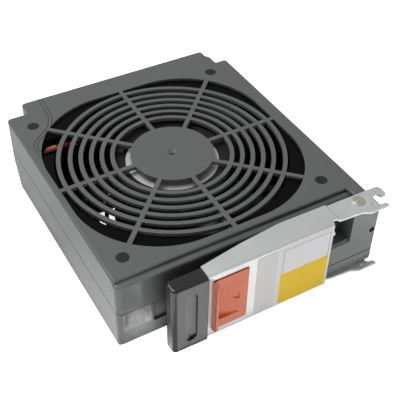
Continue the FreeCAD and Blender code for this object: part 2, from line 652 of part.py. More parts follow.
def fan_frame():
    flanges = fan_square(FLOOR, FLOOR + FLANGE).fuse(fan_square(FAN_TOP - FLANGE, FAN_TOP))
    duct = disc(BORE_R + DUCT_WALL, FLOOR, FAN_TOP)
    frame = flanges.fuse(duct).cut([disc(BORE_R, 0, BODY_H)] + at_fan_holes(disc(FAN_HOLE_R, 0, BODY_H)))
    plate = disc(MOTOR_BASE_R, BASE_PLATE_UNDER, BASE_PLATE_TOP)
    bar = block(0, BORE_R + DUCT_WALL / 2, -STRUT_WIDTH / 2, STRUT_WIDTH / 2, BASE_PLATE_UNDER,
                BASE_PLATE_UNDER + STRUT_DEPTH)
    struts = [turned(bar, angle) for angle in STRUT_ANGLES]
    lead_bar = block(0, BORE_R + DUCT_WALL / 2, -LEAD_STRUT_WIDTH / 2, LEAD_STRUT_WIDTH / 2, BASE_PLATE_UNDER,
                     BASE_PLATE_UNDER + STRUT_DEPTH)
    carrier = plate.fuse(struts + [turned(lead_bar, LEAD_ANGLE)])
    carrier = carrier.cut(disc(MOTOR_BASE_R - 1.2, BASE_PLATE_TOP, FAN_TOP))
    half = LEAD_STRUT_WIDTH / 2
    lid = block(LEAD_LID_R0, LEAD_LID_R1, -half, half, BASE_PLATE_TOP - TINY, BASE_PLATE_UNDER + STRUT_DEPTH)
    lid = turned(lid, LEAD_ANGLE)
    barrel = tube(TUBE_R, BEARING_R + FIT, TUBE_BASE, BASE_PLATE_UNDER + TINY)
    stop = tube(TUBE_R - TUBE_WALL / 2, SHAFT_R + 1.0, TUBE_BASE + 2 + BEARING_WIDTH,
                BASE_PLATE_UNDER - 2 - BEARING_WIDTH)
    frame = frame.fuse([carrier, barrel, stop])
    channel = block(20.0, BORE_R + 8, -CHANNEL_HALF, CHANNEL_HALF, CHANNEL_Z, BODY_H)
    slot = turned(block(19.0, 24.2, -CHANNEL_HALF, CHANNEL_HALF, 0, BODY_H), LEAD_ANGLE)
    slot = slot.common(disc(BORE_R, BASE_PLATE_UNDER - 1, BODY_H))
    low_y, high_y = LEAD_OUT_Y - LEAD_NOTCH_FRONT, LEAD_OUT_Y + LEAD_NOTCH_REAR
    notch = block(-FAN_HALF + 2.0, -LEAD_OUT_Y, low_y, high_y, CHANNEL_Z, BODY_H)
    drop = block(-FAN_HALF + 2.0, LEAD_OUT_X + 4.0, low_y, high_y, FAN_TOP - FLANGE - 1, BODY_H)
    drop = drop.cut(disc(BORE_R + DUCT_WALL, 0, CHANNEL_Z))
    frame = frame.cut([turned(channel, LEAD_ANGLE).common(disc(BORE_R + 1, 0, BODY_H)), slot, notch, drop])
    return frame.fuse(lid)


def blade_section(radius, chord, stagger, sweep, camber):
    """Thin curved profile in the plane that faces outwards at this radius."""
    middle_z = (HUB_BASE + HUB_TOP) / 2
    c, s = cos(radians(stagger)), sin(radians(stagger))

    def point(u, w):
        across = u * c - w * s + sweep
        return V(radius, across, middle_z + u * s + w * c)

    half, thin = chord / 2, BLADE_THICK / 2
    upper = Part.Arc(point(-half, 0.35), point(0, camber + thin), point(half, 0.35)).toShape()
    nose = Part.LineSegment(point(half, 0.35), point(half, -0.35)).toShape()
    lower = Part.Arc(point(half, -0.35), point(0, camber - thin), point(-half, -0.35)).toShape()
    tail = Part.LineSegment(point(-half, -0.35), point(-half, 0.35)).toShape()
    return Part.Wire([upper, nose, lower, tail])


def impeller():
    """Hub cup with its closed face down, and lofted blades that twist and sweep outwards."""
    tip = BORE_R - TIP_GAP
    sections = [blade_section(HUB_R - 1.2, *ROOT_BLADE), blade_section((HUB_R + tip) / 2, *MIDDLE_BLADE),
                blade_section(tip + 1.0, *TIP_BLADE)]
    blade = Part.makeLoft(sections, True, False).common(tube(tip, HUB_R - 0.8, HUB_BASE + 0.5, HUB_TOP - 0.5))
    blades = [turned(blade, 360 / BLADES * k) for k in range(BLADES)]
    hub = disc(HUB_R, HUB_BASE, HUB_TOP)
    hub = hub.makeFillet(2.0, level_edges(hub, HUB_BASE))
    hub = hub.cut([disc(HUB_R - HUB_WALL, HUB_BASE + HUB_FACE, HUB_TOP + 1)])
    return hub.fuse(blades)


def rotor_cup():
    cup = disc(CUP_R, CUP_BASE, HUB_TOP - 2).cut(disc(CUP_R - CUP_WALL, CUP_BASE + CUP_WALL, HUB_TOP))
    boss = disc(SHAFT_R + 2.4, CUP_BASE, TUBE_BASE - 0.9)
    return cup.fuse(boss).cut(disc(SHAFT_R + FIT, CUP_BASE - 1, HUB_TOP))


def rotor_magnet():
    return tube(MAGNET_R, MAGNET_R - MAGNET_THICK, MAGNET_BASE, MAGNET_BASE + MAGNET_LENGTH)


def shaft():
    groove_z = BASE_PLATE_UNDER - 1.2
    bar = disc(SHAFT_R, CUP_BASE, groove_z + 1.0)
    return bar.cut(tube(SHAFT_R + 1, SHAFT_R - 0.4, groove_z, groove_z + 0.5))


def shaft_clip():
    """Open ring in the groove at the shaft's end."""
    groove_z = BASE_PLATE_UNDER - 1.2
    ring = tube(3.4, SHAFT_R - 0.35, groove_z + 0.05, groove_z + 0.45)
    return ring.cut(block(0, 5, -1.2, 1.2, 0, BODY_H))


def bearing(z0):
    """Ball bearing with its shields: two races and the shield between them."""
    inner_r = SHAFT_R + RUNNING
    races = tube(BEARING_R, BEARING_R - 0.7, z0, z0 + BEARING_WIDTH).fuse(
        tube(inner_r + 0.6, inner_r, z0, z0 + BEARING_WIDTH))
    return races.fuse(tube(BEARING_R - 0.5, inner_r + 0.4, z0 + 0.2, z0 + BEARING_WIDTH - 0.2))


def preload_spring():
    """Wave-like washer that pushes the lower bearing's inner race away from the rotor."""
    low = TUBE_BASE - 0.9
    return tube(SHAFT_R + 0.75, SHAFT_R + 0.2, low, TUBE_BASE + 1.9)


def stator_core():
    """Lamination stack: a yoke on the bearing tube, pole arms and curved shoes."""
    z0, z1 = STACK_BASE, STACK_BASE + STACK
    yoke = disc(TUBE_R + FIT + 3.0, z0, z1)
    arm = block(0, STATOR_R - 1, -POLE_WIDTH / 2, POLE_WIDTH / 2, z0, z1)
    shoes = tube(STATOR_R, STATOR_R - SHOE, z0, z1)
    gap = block(0, STATOR_R + 1, -1.6, 1.6, z0 - 1, z1 + 1)
    step = 360 / POLES
    shoes = shoes.cut([turned(gap, step * (k + 0.5)) for k in range(POLES)])
    core = yoke.fuse([turned(arm, step * k) for k in range(POLES)] + [shoes])
    return core.cut(disc(TUBE_R + FIT, z0 - 1, z1 + 1))


def windings():
    z0, z1 = STACK_BASE, STACK_BASE + STACK
    half = POLE_WIDTH / 2
    inner_x = TUBE_R + FIT + 3.8
    outer_x = sqrt((STATOR_R - SHOE - 0.2) ** 2 - (half + COIL_OUT) ** 2)
    coil = extrude([(-half - COIL_OUT, z0 - COIL_OUT, 1.5), (half + COIL_OUT, z0 - COIL_OUT, 1.5),
                    (half + COIL_OUT, z1 + COIL_OUT, 1.5), (-half - COIL_OUT, z1 + COIL_OUT, 1.5)],
                   "x", inner_x, outer_x)
    coil = coil.cut(block(inner_x - 1, outer_x + 1, -half, half, z0, z1))
    return [turned(coil, 360 / POLES * k) for k in range(POLES)]


def circuit_board():
    outer = STATOR_R - 0.4
    return tube(outer, TUBE_R + FIT, BOARD_BASE, BOARD_BASE + BOARD)


def board_parts():
    """Driver chip, Hall sensor and capacitor on the board's upper face."""
    top = BOARD_BASE + BOARD
    chips = [block(x, x + length, y, y + width, top, top + height)
             for x, y, length, width, height in (DRIVER, SENSOR)]
    x, y, radius, height = CAPACITOR
    return chips + [disc(radius, top, top + height, x, y)]


def motor_label():
    return disc(LABEL_R, BASE_PLATE_TOP, BASE_PLATE_TOP + FOIL)


def lead(order):
    """One lead: up from the board, along its strut, through the frame's notch, down and back to the plug."""
    side = LEAD_PITCH * order
    low = (PLUG_Z0 + PLUG_Z1) / 2
    along = 21.6 * sqrt(0.5)
    plug_x = (PLUG_X0 + PLUG_X1) / 2
    plug_y = REAR_Y - WALL - PLUG_BODY
    above = [(-along, along, BOARD_BASE + BOARD), (-along, along, LEAD_Z), (-LEAD_OUT_Y, LEAD_OUT_Y, LEAD_Z),
             (LEAD_OUT_X, LEAD_OUT_Y, LEAD_Z)]
    below = [(LEAD_OUT_X, LEAD_OUT_Y, low), (LEAD_OUT_X, LEAD_OUT_Y + 9.0, low), (plug_x - 2.0, 54.0, low),
             (plug_x, plug_y - 4.6, low), (plug_x, plug_y, low)]
    points = [V(x + side, y + side, z) for x, y, z in above] + [V(x + side, y, z + side) for x, y, z in below]
    return bent_rod(points, LEAD_R, 3.0)


def bent_rod(points, radius, largest):
    """Round rod along straight runs joined by tangent arcs, with its volume checked against its length."""
    edges = []
    here = points[0]
    for i in range(1, len(points) - 1):
        corner = points[i]
        before = points[i - 1] - corner
        after = points[i + 1] - corner
        half = before.getAngle(after) / 2
        bend = min(largest, 0.45 * min(before.Length, after.Length) * tan(half))
        along = bend / tan(half)
        before.normalize()
        after.normalize()
        start = corner + before * along
        end = corner + after * along
        middle = corner + (before + after).normalize() * (bend / sin(half) - bend)
        edges.append(Part.LineSegment(here, start).toShape())
        edges.append(Part.Arc(start, middle, end).toShape())
        here = end
    edges.append(Part.LineSegment(here, points[-1]).toShape())
    path = Part.Wire(edges)
    ring = Part.Wire(Part.makeCircle(radius, points[0], points[1] - points[0]))
    rod = path.makePipeShell([ring], True, False)
    share = rod.Volume / (pi * radius ** 2 * path.Length)
    if abs(share - 1) > 0.02:
        print("check rod volume share", share)
    return rod


def rear_connector():
    """Blind-mate plug in the rear wall, across the seam: body, flange inside the wall and a nose outside."""
    inner_y = REAR_Y - WALL
    z0, z1 = PLUG_Z0, PLUG_Z1
    nose = extrude([(PLUG_X0, z0, 1.0), (PLUG_X1, z0, 1.0), (PLUG_X1, z1, 1.0), (PLUG_X0, z1, 1.0)], "y",
                   inner_y - PLUG_BODY, REAR_Y + PLUG_NOSE)
    collar = block(PLUG_X0 - 0.2, PLUG_X1 + 1.4, inner_y - PLUG_FLANGE, inner_y, z0 - 1.4, z1 + 1.4)
    front_y = REAR_Y + PLUG_NOSE + 1
    wells = [block(x - 1.1, x + 1.1, inner_y - 2, front_y, z0 + 2.2, z1 - 2.2) for x in contact_xs()]
    return nose.fuse(collar).cut(wells)


def contact_xs():
    pitch = (PLUG_X1 - PLUG_X0) / (CONTACTS + 0.4)
    middle = (PLUG_X0 + PLUG_X1) / 2
    return [middle + pitch * (k - (CONTACTS - 1) / 2) for k in range(CONTACTS)]


def connector_contacts():
    y = REAR_Y - WALL - 2
    middle = (PLUG_Z0 + PLUG_Z1) / 2
    half = CONTACT_WIDTH / 2
    tip_y = REAR_Y + PLUG_NOSE - 0.6
    return [block(x - half, x + half, y, tip_y, middle - 1.0, middle + 1.0) for x in contact_xs()]


# ---- Lever ----

def from_pivot(points):
    return [(PIVOT_X + x, PIVOT_Y + y, radius) for x, y, radius in points]


def lever_outline():
    """Flange and ear from above: one outline, cut at the web."""
    web = [(WEB_RIGHT_X, WEB_OUT_Y, 0), (WEB_LEFT_X, WEB_OUT_Y, 0)]
    rear = from_pivot(LEVER_REAR_EDGE)
    left = [(WEB_LEFT_X, rear[0][1], 0)]
    return left + rear[1:] + from_pivot(LEVER_JAW + LEVER_NOTCH) + web


def joggled_strip(outer_z):
    """Sheet that steps down by the joggle where the upper flange turns into the ear."""
    step_x = PIVOT_X + LEVER_REAR_EDGE[-1][0]
    inner_z = outer_z - JOGGLE
    sheet = -SHEET
    far = PIVOT_X + EAR_ROOM
    corners = [(WEB_LEFT_X, outer_z, 0), (step_x - JOGGLE_RUN, outer_z, 0), (step_x, inner_z, 0),
               (far, inner_z, 0), (far, inner_z + sheet, 0), (step_x - 0.3, inner_z + sheet, 0),
               (step_x - JOGGLE_RUN - 0.3, outer_z + sheet, 0), (WEB_LEFT_X, outer_z + sheet, 0)]
    return extrude(corners, "y", WEB_OUT_Y - 1, PIVOT_Y + EAR_ROOM)


def latch_window(y0, y1):
    x0, x1 = LATCH_X0 - LATCH_TRAVEL - SLIDE_GAP, LATCH_X1 + LATCH_STOP_GAP
    z0, z1 = LATCH_Z0 - LATCH_GAP, LATCH_Z1 + LATCH_GAP
    corner = LATCH_CORNER + LATCH_STOP_GAP
    return extrude([(x0, z0, corner), (x1, z0, corner), (x1, z1, corner), (x0, z1, corner)], "y", y0, y1)


def lever_tang():
    """Tongue of the web that the grip is pushed on to."""
    low, high = LEVER_BASE + TANG_MARGIN, LEVER_TOP - TANG_MARGIN
    return block(TANG_LEFT_X, WEB_LEFT_X + 1, WEB_OUT_Y, WEB_IN_Y, low, high)


def dimple(z0, z1):
    """Ring-shaped punch mark beside the pivot."""
    return tube(DIMPLE_R, DIMPLE_CORE_R, z0, z1, PIVOT_X + DIMPLE_AT[0], PIVOT_Y + DIMPLE_AT[1])


def lever():
    deep = PIVOT_Y + 8
    outside = [(WEB_OUT_Y, LEVER_BASE, BEND_R), (deep, LEVER_BASE, 0), (deep, LEVER_TOP, 0),
               (WEB_OUT_Y, LEVER_TOP, BEND_R)]
    inside = [(WEB_IN_Y, LEVER_BASE + SHEET, BEND_R - SHEET), (deep + 1, LEVER_BASE + SHEET, 0),
              (deep + 1, LEVER_TOP - SHEET, 0), (WEB_IN_Y, LEVER_TOP - SHEET, BEND_R - SHEET)]
    channel = extrude(outside, "x", WEB_LEFT_X, WEB_RIGHT_X)
    channel = channel.cut(extrude(inside, "x", WEB_LEFT_X - 1, WEB_RIGHT_X + 1))
    outline = extrude(lever_outline(), "z", 0, LEVER_TOP + 1)
    web = channel.common(block(WEB_LEFT_X, WEB_RIGHT_X, WEB_OUT_Y, WEB_IN_Y, 0, LEVER_TOP))
    front_only = block(WEB_LEFT_X - 1, WEB_RIGHT_X, WEB_OUT_Y - 1, WEB_IN_Y + BEND_R, 0, LEVER_TOP + 1)
    bends = channel.common(front_only)
    far_x, far_y = PIVOT_X + EAR_ROOM, PIVOT_Y + EAR_ROOM
    right_of_bend = block(WEB_LEFT_X - 1, far_x, WEB_IN_Y + BEND_R / 2, deep, 0, LEVER_TOP + 1)
    right_of_bend = right_of_bend.fuse(block(WEB_RIGHT_X, far_x, WEB_OUT_Y - 9, deep, 0, LEVER_TOP + 1))
    lower = block(WEB_LEFT_X, far_x, WEB_OUT_Y - 1, far_y, LEVER_BASE, LEVER_BASE + SHEET)
    lower = lower.cut(block(PIVOT_X + LOW_JAW_REACH, far_x, PIVOT_Y + JAW_MIDDLE_Y, far_y, 0, LEVER_TOP))
    strips = joggled_strip(LEVER_TOP).fuse(lower).common(outline).common(right_of_bend)
    inner_z = LEVER_BASE + SHEET
    button = disc(BUTTON_R, inner_z - TINY, inner_z + BUTTON_H, PIVOT_X + DIMPLE_AT[0], PIVOT_Y + DIMPLE_AT[1])
    tab = block(WEB_RIGHT_X - 1, WEB_RIGHT_X + WEB_TAB, WEB_OUT_Y, WEB_IN_Y, WEB_TAB_Z0, WEB_TAB_Z1)
    whole = web.fuse([bends, strips, lever_tang(), tab, button])
    hole = disc(SHANK_R + RUNNING, 0, LEVER_TOP + 1, PIVOT_X, PIVOT_Y)
    dimples = [dimple(EAR_TOP - DIMPLE_DEPTH, EAR_TOP + 1), dimple(LEVER_BASE - 1, LEVER_BASE + DIMPLE_DEPTH)]
    return whole.cut([hole, latch_window(WEB_OUT_Y - 1, WEB_IN_Y + 1)] + dimples)


def stamped_ring(z0, z1):
    """Ring in a rivet's head, open on its right."""
    ring = tube(RIVET_RING_R, RIVET_RING_R - RIVET_RING_WIDTH, z0, z1, PIVOT_X, PIVOT_Y)
    return ring.cut(block(PIVOT_X, PIVOT_X + HEAD_R, PIVOT_Y - 0.9, PIVOT_Y + 0.9, z0 - 1, z1 + 1))


def upper_rivet():
    top = EAR_TOP + HEAD_GAP
    head = disc(HEAD_R, top, top + HEAD, PIVOT_X, PIVOT_Y)
    head = head.makeFillet(0.3, level_edges(head, top + HEAD))
    shank = disc(SHANK_R, BODY_H - 12, top, PIVOT_X, PIVOT_Y)
    return head.fuse(shank).cut(stamped_ring(top + HEAD - RIVET_RING_DEPTH, top + HEAD + 1))


def lower_rivet():
    base = LEVER_BASE - HEAD_GAP - HEAD
    head = disc(HEAD_R, base, base + HEAD, PIVOT_X, PIVOT_Y)
    head = head.makeFillet(0.3, level_edges(head, base))
    shank = disc(SHANK_R, base + HEAD, RELIEF_Z + 7, PIVOT_X, PIVOT_Y)
    return head.fuse(shank).cut(stamped_ring(base - 1, base + RIVET_RING_DEPTH))


def grip():
    """Moulded cap on the lever's left end, with a finger scoop down its front."""
    front, rear = WEB_OUT_Y - GRIP_PROUD, WEB_OUT_Y + GRIP_REAR
    cap = extrude([(GRIP_LEFT_X, front, GRIP_CORNER), (WEB_LEFT_X, front, 0.4), (WEB_LEFT_X, rear, 0),
                   (GRIP_LEFT_X, rear, GRIP_CORNER)], "z", LEVER_BASE, LEVER_TOP)
    ends = level_edges(cap, LEVER_TOP) + level_edges(cap, LEVER_BASE)
    cap = cap.makeFillet(GRIP_EDGE, [e for e in ends if e.BoundBox.XMin < WEB_LEFT_X - 1])
    bed_x0, bed_x1 = SCOOP_X0, SCOOP_X1
    round_r = (bed_x1 - bed_x0) / 2 - TINY
    floor_y = front + SCOOP_DEPTH
    scoop = extrude([(bed_x0 - 1.5, front - 1, 0), (bed_x1 + 0.2, front - 1, 0), (bed_x1 - 0.2, floor_y, 0.8),
                     (bed_x1 - 2.6, floor_y, 3.0), (bed_x0, front, 0)], "z", LEVER_BASE, LEVER_TOP)
    low, high = LEVER_BASE + SCOOP_MARGIN, LEVER_TOP - SCOOP_MARGIN
    ends = [(bed_x0, low, round_r), (bed_x1, low, round_r), (bed_x1, high, round_r), (bed_x0, high, round_r)]
    bed = extrude(ends, "y", front - 1, front + SCOOP_DEPTH + 1)
    return cap.cut([scoop.common(bed), lever_tang()])


# ---- Latch ----

def thumb_floor(x):
    """Depth of the thumb recess's sloping floor at x, as a y."""
    return WEB_OUT_Y - LATCH_PROUD + THUMB_DEPTH * (THUMB_X1 - x) / (THUMB_X1 - THUMB_X0)


def thumb_recess():
    above = WEB_OUT_Y - LATCH_PROUD - 1
    wedge = [(THUMB_X0, above, 0), (THUMB_X0, thumb_floor(THUMB_X0), 0), (THUMB_X1, thumb_floor(THUMB_X1), 0),
             (THUMB_X1, above, 0)]
    return extrude(wedge, "z", LATCH_Z0 + THUMB_MARGIN, LATCH_Z1 - THUMB_MARGIN)


def engraved_arrow():
    """Arrow that points the way the button slides, sunk evenly into the recess's sloping floor."""
    middle = (LATCH_Z0 + LATCH_Z1) / 2
    base_x = ARROW_X + ARROW_LENGTH
    above = WEB_OUT_Y - LATCH_PROUD - 1
    tip = extrude([(ARROW_X, middle, 0), (base_x, middle - ARROW_HALF, 0), (base_x, middle + ARROW_HALF, 0)],
                  "y", above, LATCH_BACK_Y)
    near, far = thumb_floor(ARROW_X - 1) + ARROW_DEPTH, thumb_floor(base_x) + ARROW_DEPTH
    wedge = [(ARROW_X - 1, above, 0), (ARROW_X - 1, near, 0), (base_x, far, 0), (base_x, above, 0)]
    return tip.common(extrude(wedge, "z", LATCH_Z0, LATCH_Z1))


def latch_button():
    """Sliding button in the web's window: raised lip and thumb recess in front, guide flange behind."""
    face_y = WEB_OUT_Y - LATCH_PROUD
    skin_y = WEB_OUT_Y - SLIDE_GAP
    face = [(LATCH_X0, LATCH_Z0, 0), (LATCH_X1, LATCH_Z0, LATCH_CORNER), (LATCH_X1, LATCH_Z1, LATCH_CORNER),
            (LATCH_X0, LATCH_Z1, 0)]
    body = extrude(face, "y", face_y, LATCH_BACK_Y)
    flange_z = LATCH_GAP + LATCH_FLANGE
    flange = block(LATCH_X0, LATCH_X1 + LATCH_STOP_GAP + LATCH_FLANGE, WEB_IN_Y + SLIDE_GAP, LATCH_BACK_Y,
                   LATCH_Z0 - flange_z, LATCH_Z1 + flange_z)
    lip_y = WEB_OUT_Y - LIP_PROUD
    lip = extrude([(skin_y, LATCH_Z0, 0), (lip_y, LATCH_Z0 + LIP_TAPER, 0.4), (lip_y, LATCH_Z1 - 0.5, 0.8),
                   (skin_y, LATCH_Z1, 0)], "x", LIP_X0, LIP_X0 + LIP_THICK)
    cheek = block(LIP_X0, LATCH_X0 + 0.2, face_y, skin_y, LATCH_Z0, LATCH_Z1)
    z = spring_middle_z()
    well = block(spring_end_x() - SPRING_WELL, spring_end_x(), spring_middle_y() - SPRING_HALF_H - 0.1,
                 LATCH_BACK_Y + 1, z - SPRING_ROOM / 2, z + SPRING_ROOM / 2)
    return body.fuse([flange, lip, cheek]).cut([thumb_recess(), engraved_arrow(), well])


def spring_end_x():
    return LATCH_X1 - 1.6


def spring_middle_z():
    """Above the thumb recess, where the button is thick enough for the well."""
    return LATCH_Z1 - THUMB_MARGIN / 2


def spring_middle_y():
    return WEB_OUT_Y + 0.7 + SPRING_HALF_H


def peg_x():
    return spring_end_x() - SPRING_WELL + LATCH_TRAVEL + 0.3


def latch_hook():
    """Moulded arm behind the button that reaches through the base's front wall; its nose points right."""
    z0, z1 = CATCH_Z0 + HOOK_MARGIN, CATCH_Z1 - HOOK_MARGIN
    inner_y = FRONT_Y + WALL + RECESS_DEPTH
    nose_y = inner_y + HOOK_CLEAR
    arm = [(HOOK_X0, LATCH_BACK_Y, 0), (HOOK_X1, LATCH_BACK_Y, 0), (HOOK_X1, nose_y, 0.5),
           (HOOK_X1 + HOOK_NOSE, nose_y, 0), (HOOK_X1 + 0.6, nose_y + HOOK_NOSE_THICK, 0.5),
           (HOOK_X0, nose_y + HOOK_NOSE_THICK, 0.8)]
    return extrude(arm, "z", z0, z1)


def latch_spring():
    """Folded strip spring in the button's well, drawn pressed as far as the full travel presses it."""
    length = spring_end_x() - peg_x() - PEG - LATCH_TRAVEL - 0.2
    fold = length / SPRING_FOLDS
    thick = SPRING_STRIP * hypot(fold, 2 * SPRING_HALF_H) / fold
    near = []
    for k in range(SPRING_FOLDS + 1):
        side = SPRING_HALF_H if k % 2 else -SPRING_HALF_H
        near.append((spring_end_x() - fold * k, spring_middle_y() + side, 0))
    far = [(x, y + thick, 0) for x, y, radius in near]
    z = spring_middle_z()
    return extrude(near + far[::-1], "z", z - SPRING_HALF_W, z + SPRING_HALF_W)


def latch_retainer():
    """Back plate on posts that holds the button to the web; a peg on it stops the spring."""
    z0, z1 = LEVER_BASE + SHEET + 0.4, LEVER_TOP - SHEET - 0.4
    plate = block(RETAINER_X0, RETAINER_X1, RETAINER_Y, RETAINER_Y + RETAINER_THICK, z0, z1)
    left = block(RETAINER_X0, RETAINER_X0 + RETAINER_POST - 0.4, WEB_IN_Y, RETAINER_Y + 0.5, z0, z1)
    right = block(RETAINER_X1 - RETAINER_POST, RETAINER_X1, WEB_IN_Y, RETAINER_Y + 0.5, z0, z1)
    slot = block(HOOK_X0 - LATCH_TRAVEL - 0.6, HOOK_X1 + 0.6, RETAINER_Y - 1, RETAINER_Y + RETAINER_THICK + 1,
                 CATCH_Z0, CATCH_Z1)
    z = spring_middle_z()
    peg = block(peg_x(), peg_x() + PEG, spring_middle_y() - SPRING_HALF_H, RETAINER_Y + 0.5,
                z - SPRING_HALF_W, z + SPRING_HALF_W)
    return plate.fuse([left, right]).cut(slot).fuse(peg)


def front_label():
    return extrude([(LABEL_X0, LABEL_Z0, 0.3), (LABEL_X1 - LABEL_CUT, LABEL_Z0, 0),
                    (LABEL_X1, LABEL_Z0 + LABEL_CUT, 0), (LABEL_X1, LABEL_Z1, 0.3), (LABEL_X0, LABEL_Z1, 0.3)],
                   "y", WEB_OUT_Y - PAPER, WEB_OUT_Y)


def main():
    os.makedirs("parts", exist_ok=True)
    save("top_cover", top_cover())
    save("base_shell", base_shell())
    save("top_isolators", isolators(BODY_H, -1))
    save("bottom_isolators", isolators(0, 1))
    save("clear_film", clear_film())
    save("fan_frame", fan_frame())
    save("impeller", impeller())
    save("rotor_cup", rotor_cup())
    save("rotor_magnet", rotor_magnet())
    save("shaft", shaft())
    save("shaft_clip", shaft_clip())
    save("lower_bearing", bearing(TUBE_BASE + 2))
    save("upper_bearing", bearing(BASE_PLATE_UNDER - 2 - BEARING_WIDTH))
    save("preload_spring", preload_spring())
    save("stator_core", stator_core())
    save("windings", windings())
    save("circuit_board", circuit_board())
    save("board_parts", board_parts())
    save("motor_label", motor_label())
    save("red_lead", lead(0))
    save("yellow_lead", lead(1))
    save("black_lead", lead(-1))
    save("rear_connector", rear_connector())
    save("connector_contacts", connector_contacts())
    save("lever", lever())
    save("upper_rivet", upper_rivet())
    save("lower_rivet", lower_rivet())
    save("grip", grip())
    save("latch_button", latch_button())
    save("latch_hook", latch_hook())
    save("latch_spring", latch_spring())
    save("latch_retainer", latch_retainer())
    save("front_label", front_label())


main()
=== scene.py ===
from math import cos, radians, sin

import bpy
from mathutils import Matrix, Vector


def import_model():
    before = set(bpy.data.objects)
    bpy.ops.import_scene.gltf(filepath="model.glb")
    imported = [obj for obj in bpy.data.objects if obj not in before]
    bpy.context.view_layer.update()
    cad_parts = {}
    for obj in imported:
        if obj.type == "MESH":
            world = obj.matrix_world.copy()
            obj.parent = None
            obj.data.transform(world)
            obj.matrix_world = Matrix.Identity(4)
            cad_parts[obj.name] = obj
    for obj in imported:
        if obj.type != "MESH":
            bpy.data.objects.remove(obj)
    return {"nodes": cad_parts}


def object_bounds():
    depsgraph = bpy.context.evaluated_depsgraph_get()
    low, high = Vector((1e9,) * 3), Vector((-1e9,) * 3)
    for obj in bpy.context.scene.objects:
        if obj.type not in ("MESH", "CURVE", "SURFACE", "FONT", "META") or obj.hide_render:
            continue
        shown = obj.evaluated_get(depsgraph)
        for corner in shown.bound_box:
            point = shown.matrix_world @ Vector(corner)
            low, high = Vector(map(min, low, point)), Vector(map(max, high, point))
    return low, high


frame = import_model()
CAD_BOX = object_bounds()

MM = 0.001
NODES = frame["nodes"]

MOTOR_BASE_RADIUS = 30.1        # the fan frame's round middle, in millimetres from the fan's axis
PAINTED_SHADE_END = 30                 # where the leads' painted shade ends, in millimetres to the right of the axis
FLOOR_HALF = 4.0                # half the floor's width, in metres


# ---- Camera ----

def camera():
    """Long lens from the front left, above: azimuth and elevation of the line of sight, then a small roll."""
    azimuth, elevation, roll = radians(-30.81), radians(42.48), radians(1.41)
    distance = 370.1 * MM
    target = Vector((-4.7, -37.1, 41.0)) * MM
    back = Vector((sin(azimuth) * cos(elevation), -cos(azimuth) * cos(elevation), sin(elevation)))
    right = Vector((cos(azimuth), sin(azimuth), 0))
    up = back.cross(right)
    right, up = right * cos(roll) + up * sin(roll), up * cos(roll) - right * sin(roll)
    data = bpy.data.cameras.new("camera")
    data.lens = 71.93
    data.sensor_width = 36.0
    data.shift_x = -0.0037
    data.shift_y = -0.0006
    data.clip_start = 0.01
    eye = bpy.data.objects.new("camera", data)
    turn = Matrix((right, up, back)).transposed().to_4x4()
    eye.matrix_world = Matrix.Translation(target + back * distance) @ turn
    bpy.context.scene.collection.objects.link(eye)
    bpy.context.scene.camera = eye


camera()


# ---- Shading tools ----

def place(tree, stretch=(1, 1, 1)):
    """Object coordinates, stretched along the axes."""
    coords = tree.nodes.new("ShaderNodeTexCoord")
    mapping = tree.nodes.new("ShaderNodeMapping")
    mapping.inputs["Scale"].default_value = stretch
    tree.links.new(coords.outputs["Object"], mapping.inputs["Vector"])
    return mapping.outputs["Vector"]


def along(tree, axis):
    """Object coordinate on one axis, in metres."""
    split = tree.nodes.new("ShaderNodeSeparateXYZ")
    tree.links.new(place(tree), split.inputs[0])
    return split.outputs[axis]


def off_axis(tree):
    """Distance from the fan's axis, in metres."""
    length = tree.nodes.new("ShaderNodeVectorMath")
    length.operation = "LENGTH"
    tree.links.new(place(tree, (1, 1, 0)), length.inputs[0])
    return length.outputs["Value"]


def combine(tree, operation, first, second):
    """Two values through one arithmetic node; the second may be a plain number."""
    node = tree.nodes.new("ShaderNodeMath")
    node.operation = operation
    tree.links.new(first, node.inputs[0])
    if isinstance(second, bpy.types.NodeSocket):
        tree.links.new(second, node.inputs[1])
    else:
        node.inputs[1].default_value = second
    return node.outputs[0]


def product(tree, first, second):
    return combine(tree, "MULTIPLY", first, second)


def remap(tree, value, source, target, smooth=False):
    """Maps the source range of a value to the target range, and holds it beyond both ends."""
    node = tree.nodes.new("ShaderNodeMapRange")
    if smooth:
        node.interpolation_type = "SMOOTHSTEP"
    limits = {"From Min": source[0], "From Max": source[1], "To Min": target[0], "To Max": target[1]}
    for socket, limit in limits.items():
        node.inputs[socket].default_value = limit
    tree.links.new(value, node.inputs["Value"])
    return node.outputs["Result"]


def within(tree, axis, low, high):
    """1 where the object coordinate on this axis lies between low and high millimetres, else 0."""
    value = along(tree, axis)
    above = combine(tree, "GREATER_THAN", value, low * MM)
    below = combine(tree, "LESS_THAN", value, high * MM)
    return product(tree, above, below)


def region(tree, **ranges):
    """1 in the box that the ranges give, in millimetres on two axes, else 0."""
    first, second = (within(tree, axis, *limits) for axis, limits in ranges.items())
    return product(tree, first, second)


def fading(tree, axis, dark, bright):
    """0 at dark millimetres on this axis, 1 at bright, held beyond both."""
    return remap(tree, along(tree, axis), (dark * MM, bright * MM), (0, 1))


def noise(tree, size, detail=3.0, stretch=(1, 1, 1), rough=0.5):
    """Noise whose blotches are about size metres across."""
    node = tree.nodes.new("ShaderNodeTexNoise")
    node.inputs["Scale"].default_value = 1 / size
    node.inputs["Detail"].default_value = detail
    node.inputs["Roughness"].default_value = rough
    tree.links.new(place(tree, stretch), node.inputs["Vector"])
    return node.outputs["Fac"]


def spread(tree, value, low, high):
    """Maps the middle of a noise, 0.3 to 0.7, to low to high."""
    return remap(tree, value, (0.3, 0.7), (low, high))


